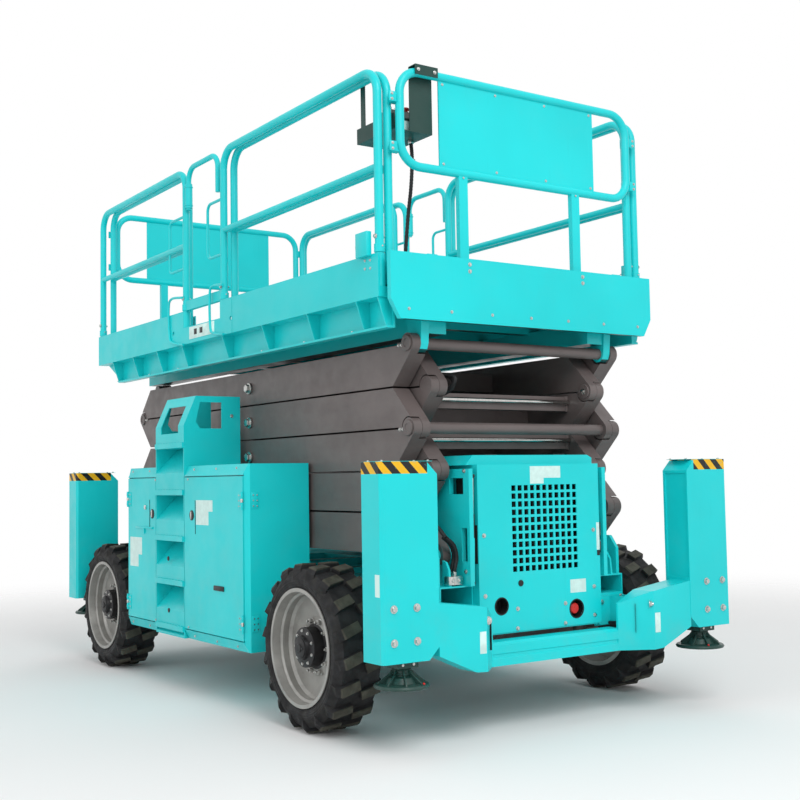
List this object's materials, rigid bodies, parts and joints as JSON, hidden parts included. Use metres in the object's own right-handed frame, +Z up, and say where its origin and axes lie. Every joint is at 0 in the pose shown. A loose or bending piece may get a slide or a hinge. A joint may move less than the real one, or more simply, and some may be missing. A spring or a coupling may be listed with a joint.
{
  "type": "rough-terrain scissor lift",
  "caption": "Stowed rough-terrain scissor lift with side pods, ladders, outriggers, lug tyres and a railed platform with extension decks.",
  "frame": {"origin": "on the ground under the middle of the machine", "axes": "+X towards the steering end, +Y to the machine's left as seen facing +X, +Z up"},
  "size_m": [4.2979, 2.294, 3.3306],
  "materials": {
    "teal_paint": "satin",
    "arm_grey": "satin",
    "dark_grey": "matte",
    "rim_silver": "satin",
    "tyre_black": "matte",
    "bright_steel": "satin",
    "box_green": "matte",
    "engine_dark": "matte"
  },
  "bodies": {
    "chassis": {"chassis_frame": "teal_paint", "tower_right": "teal_paint", "tower_left": "teal_paint", "front_outrigger": "teal_paint", "rear_outrigger": "teal_paint", "front_axle": "dark_grey", "rear_axle": "dark_grey", "module_cover": "teal_paint", "radiator_core": "engine_dark", "pod_left": "teal_paint", "pod_right": "teal_paint", "ladder_left": "teal_paint", "ladder_right": "teal_paint", "engine_block": "engine_dark", "fuel_tank": "engine_dark"},
    "inner_arm_1": {"inner_arm_1": "arm_grey"},
    "outer_arm_1": {"outer_arm_1": "arm_grey"},
    "inner_arm_2": {"inner_arm_2": "arm_grey"},
    "outer_arm_2": {"outer_arm_2": "arm_grey"},
    "inner_arm_3": {"inner_arm_3": "arm_grey"},
    "outer_arm_3": {"outer_arm_3": "arm_grey"},
    "inner_arm_4": {"inner_arm_4": "arm_grey"},
    "outer_arm_4": {"outer_arm_4": "arm_grey"},
    "inner_arm_5": {"inner_arm_5": "arm_grey"},
    "outer_arm_5": {"outer_arm_5": "arm_grey"},
    "platform": {"main_deck": "teal_paint", "side_rails_left": "teal_paint", "side_rails_right": "teal_paint"},
    "front_extension": {"front_extension_deck": "teal_paint", "front_extension_rails": "teal_paint", "control_box": "box_green"},
    "rear_extension": {"rear_extension_deck": "teal_paint", "rear_extension_rails": "teal_paint"},
    "gate_left": {"gate_left": "teal_paint"},
    "gate_right": {"gate_right": "teal_paint"},
    "lift_barrel_lower": {"lift_barrel_lower": "arm_grey"},
    "lift_rod_lower": {"lift_rod_lower": "bright_steel"},
    "lift_barrel_upper": {"lift_barrel_upper": "arm_grey"},
    "lift_rod_upper": {"lift_rod_upper": "bright_steel"},
    "knuckle_left": {"knuckle_left": "dark_grey"},
    "knuckle_right": {"knuckle_right": "dark_grey"},
    "tie_rod": {"tie_rod": "dark_grey"},
    "wheel_front_left": {"tyre_front_left": "tyre_black", "rim_front_left": "rim_silver"},
    "jack_leg_front_left": {"jack_leg_front_left": "dark_grey"},
    "wheel_front_right": {"tyre_front_right": "tyre_black", "rim_front_right": "rim_silver"},
    "jack_leg_front_right": {"jack_leg_front_right": "dark_grey"},
    "wheel_rear_left": {"tyre_rear_left": "tyre_black", "rim_rear_left": "rim_silver"},
    "jack_leg_rear_left": {"jack_leg_rear_left": "dark_grey"},
    "wheel_rear_right": {"tyre_rear_right": "tyre_black", "rim_rear_right": "rim_silver"},
    "jack_leg_rear_right": {"jack_leg_rear_right": "dark_grey"},
    "pod_door_front_left": {"pod_door_front_left": "teal_paint"},
    "pod_door_front_right": {"pod_door_front_right": "teal_paint"},
    "pod_door_rear_left": {"pod_door_rear_left": "teal_paint"},
    "pod_door_rear_right": {"pod_door_rear_right": "teal_paint"}
  },
  "joints": [
    {"name": "scissor_lift", "type": "hinge", "parent": "chassis", "child": "inner_arm_5", "pos_m": [1.688, 0, 0.87], "axis": [0, 1, 0], "range_deg": [0, 36.3]},
    {"name": "inner_fold_4", "type": "hinge", "parent": "inner_arm_5", "child": "inner_arm_4", "pos_m": [-1.76544, 0, 1.083], "axis": [0, 1, 0], "range_deg": [-72.6, 0]},
    {"name": "inner_fold_3", "type": "hinge", "parent": "inner_arm_4", "child": "inner_arm_3", "pos_m": [1.688, 0, 1.296], "axis": [0, 1, 0], "range_deg": [0, 72.6]},
    {"name": "inner_fold_2", "type": "hinge", "parent": "inner_arm_3", "child": "inner_arm_2", "pos_m": [-1.76544, 0, 1.509], "axis": [0, 1, 0], "range_deg": [-72.6, 0]},
    {"name": "inner_fold_1", "type": "hinge", "parent": "inner_arm_2", "child": "inner_arm_1", "pos_m": [1.688, 0, 1.722], "axis": [0, 1, 0], "range_deg": [0, 72.6]},
    {"name": "centre_pivot_5", "type": "hinge", "parent": "inner_arm_5", "child": "outer_arm_5", "pos_m": [-0.03872, 0, 0.9765], "axis": [0, 1, 0], "range_deg": [-72.6, 0]},
    {"name": "centre_pivot_4", "type": "hinge", "parent": "inner_arm_4", "child": "outer_arm_4", "pos_m": [-0.03872, 0, 1.1895], "axis": [0, 1, 0], "range_deg": [0, 72.6]},
    {"name": "centre_pivot_3", "type": "hinge", "parent": "inner_arm_3", "child": "outer_arm_3", "pos_m": [-0.03872, 0, 1.4025], "axis": [0, 1, 0], "range_deg": [-72.6, 0]},
    {"name": "centre_pivot_2", "type": "hinge", "parent": "inner_arm_2", "child": "outer_arm_2", "pos_m": [-0.03872, 0, 1.6155], "axis": [0, 1, 0], "range_deg": [0, 72.6]},
    {"name": "centre_pivot_1", "type": "hinge", "parent": "inner_arm_1", "child": "outer_arm_1", "pos_m": [-0.03872, 0, 1.8285], "axis": [0, 1, 0], "range_deg": [-72.6, 0]},
    {"name": "platform_pivot", "type": "hinge", "parent": "outer_arm_1", "child": "platform", "pos_m": [1.688, 0, 1.935], "axis": [0, 1, 0], "range_deg": [0, 36.3]},
    {"name": "front_extension_slide", "type": "slide", "parent": "platform", "child": "front_extension", "axis": [1, 0, 0], "range_m": [0, 1.3]},
    {"name": "rear_extension_slide", "type": "slide", "parent": "platform", "child": "rear_extension", "axis": [-1, 0, 0], "range_m": [0, 0.9]},
    {"name": "gate_right_hinge", "type": "hinge", "parent": "platform", "child": "gate_right", "pos_m": [-0.54, -0.878, 3.12], "axis": [0, 0, 1], "range_deg": [0, 90]},
    {"name": "gate_left_hinge", "type": "hinge", "parent": "platform", "child": "gate_left", "pos_m": [-0.54, 0.878, 3.12], "axis": [0, 0, 1], "range_deg": [-90, 0]},
    {"name": "lift_barrel_lower_pivot", "type": "hinge", "parent": "inner_arm_5", "child": "lift_barrel_lower", "pos_m": [-1.1, 0, 1.02], "axis": [0, 1, 0], "range_deg": [-84.22, 0]},
    {"name": "lift_rod_lower_slide", "type": "slide", "parent": "lift_barrel_lower", "child": "lift_rod_lower", "axis": [0.994, 0, 0.1093], "range_m": [0, 0.6424]},
    {"name": "lift_barrel_upper_pivot", "type": "hinge", "parent": "inner_arm_3", "child": "lift_barrel_upper", "pos_m": [-1.1, 0, 1.446], "axis": [0, 1, 0], "range_deg": [-84.22, 0]},
    {"name": "lift_rod_upper_slide", "type": "slide", "parent": "lift_barrel_upper", "child": "lift_rod_upper", "axis": [0.994, 0, 0.1093], "range_m": [0, 0.6424]},
    {"name": "steer_right", "type": "hinge", "parent": "chassis", "child": "knuckle_right", "pos_m": [1.301, -0.75, 0.42], "axis": [0, 0, 1], "range_deg": [-28, 28]},
    {"name": "steer_left", "type": "hinge", "parent": "chassis", "child": "knuckle_left", "pos_m": [1.301, 0.75, 0.42], "axis": [0, 0, 1], "range_deg": [-28, 28]},
    {"name": "tie_rod_slide", "type": "slide", "parent": "chassis", "child": "tie_rod", "axis": [0, -1, 0], "range_m": [-0.09, 0.09]},
    {"name": "wheel_front_right_spin", "type": "hinge", "parent": "knuckle_right", "child": "wheel_front_right", "pos_m": [1.301, -0.992, 0.42], "axis": [0, 1, 0], "continuous": true},
    {"name": "jack_front_right_slide", "type": "slide", "parent": "chassis", "child": "jack_leg_front_right", "axis": [0, 0, -1], "range_m": [0, 0.38]},
    {"name": "wheel_front_left_spin", "type": "hinge", "parent": "knuckle_left", "child": "wheel_front_left", "pos_m": [1.301, 0.992, 0.42], "axis": [0, 1, 0], "continuous": true},
    {"name": "jack_front_left_slide", "type": "slide", "parent": "chassis", "child": "jack_leg_front_left", "axis": [0, 0, -1], "range_m": [0, 0.38]},
    {"name": "wheel_rear_right_spin", "type": "hinge", "parent": "chassis", "child": "wheel_rear_right", "pos_m": [-1.455, -0.992, 0.42], "axis": [0, 1, 0], "continuous": true},
    {"name": "jack_rear_right_slide", "type": "slide", "parent": "chassis", "child": "jack_leg_rear_right", "axis": [0, 0, -1], "range_m": [0, 0.38]},
    {"name": "wheel_rear_left_spin", "type": "hinge", "parent": "chassis", "child": "wheel_rear_left", "pos_m": [-1.455, 0.992, 0.42], "axis": [0, 1, 0], "continuous": true},
    {"name": "jack_rear_left_slide", "type": "slide", "parent": "chassis", "child": "jack_leg_rear_left", "axis": [0, 0, -1], "range_m": [0, 0.38]},
    {"name": "pod_door_front_right_hinge", "type": "hinge", "parent": "chassis", "child": "pod_door_front_right", "pos_m": [0.687, -1.124, 0.84], "axis": [0, 0, 1], "range_deg": [0, 90]},
    {"name": "pod_door_rear_right_hinge", "type": "hinge", "parent": "chassis", "child": "pod_door_rear_right", "pos_m": [-0.988, -1.124, 0.84], "axis": [0, 0, 1], "range_deg": [-90, 0]},
    {"name": "pod_door_front_left_hinge", "type": "hinge", "parent": "chassis", "child": "pod_door_front_left", "pos_m": [0.687, 1.124, 0.84], "axis": [0, 0, 1], "range_deg": [-90, 0]},
    {"name": "pod_door_rear_left_hinge", "type": "hinge", "parent": "chassis", "child": "pod_door_rear_left", "pos_m": [-0.988, 1.124, 0.84], "axis": [0, 0, 1], "range_deg": [0, 90]}
  ],
  "couplings": [
    {"joint": "inner_fold_4", "follows": "scissor_lift", "ratio": -2},
    {"joint": "inner_fold_3", "follows": "scissor_lift", "ratio": 2},
    {"joint": "inner_fold_2", "follows": "scissor_lift", "ratio": -2},
    {"joint": "inner_fold_1", "follows": "scissor_lift", "ratio": 2},
    {"joint": "centre_pivot_5", "follows": "scissor_lift", "ratio": -2},
    {"joint": "centre_pivot_4", "follows": "scissor_lift", "ratio": 2},
    {"joint": "centre_pivot_3", "follows": "scissor_lift", "ratio": -2},
    {"joint": "centre_pivot_2", "follows": "scissor_lift", "ratio": 2},
    {"joint": "centre_pivot_1", "follows": "scissor_lift", "ratio": -2},
    {"joint": "platform_pivot", "follows": "scissor_lift", "ratio": 1},
    {"joint": "lift_barrel_lower_pivot", "follows": "scissor_lift", "ratio": -2.3172},
    {"joint": "lift_rod_lower_slide", "follows": "scissor_lift", "m_per_rad": 1.0124},
    {"joint": "lift_barrel_upper_pivot", "follows": "scissor_lift", "ratio": -2.3172},
    {"joint": "lift_rod_upper_slide", "follows": "scissor_lift", "m_per_rad": 1.0124},
    {"joint": "steer_left", "follows": "steer_right", "ratio": 1},
    {"joint": "tie_rod_slide", "follows": "steer_right", "m_per_rad": 0.16331}
  ]
}
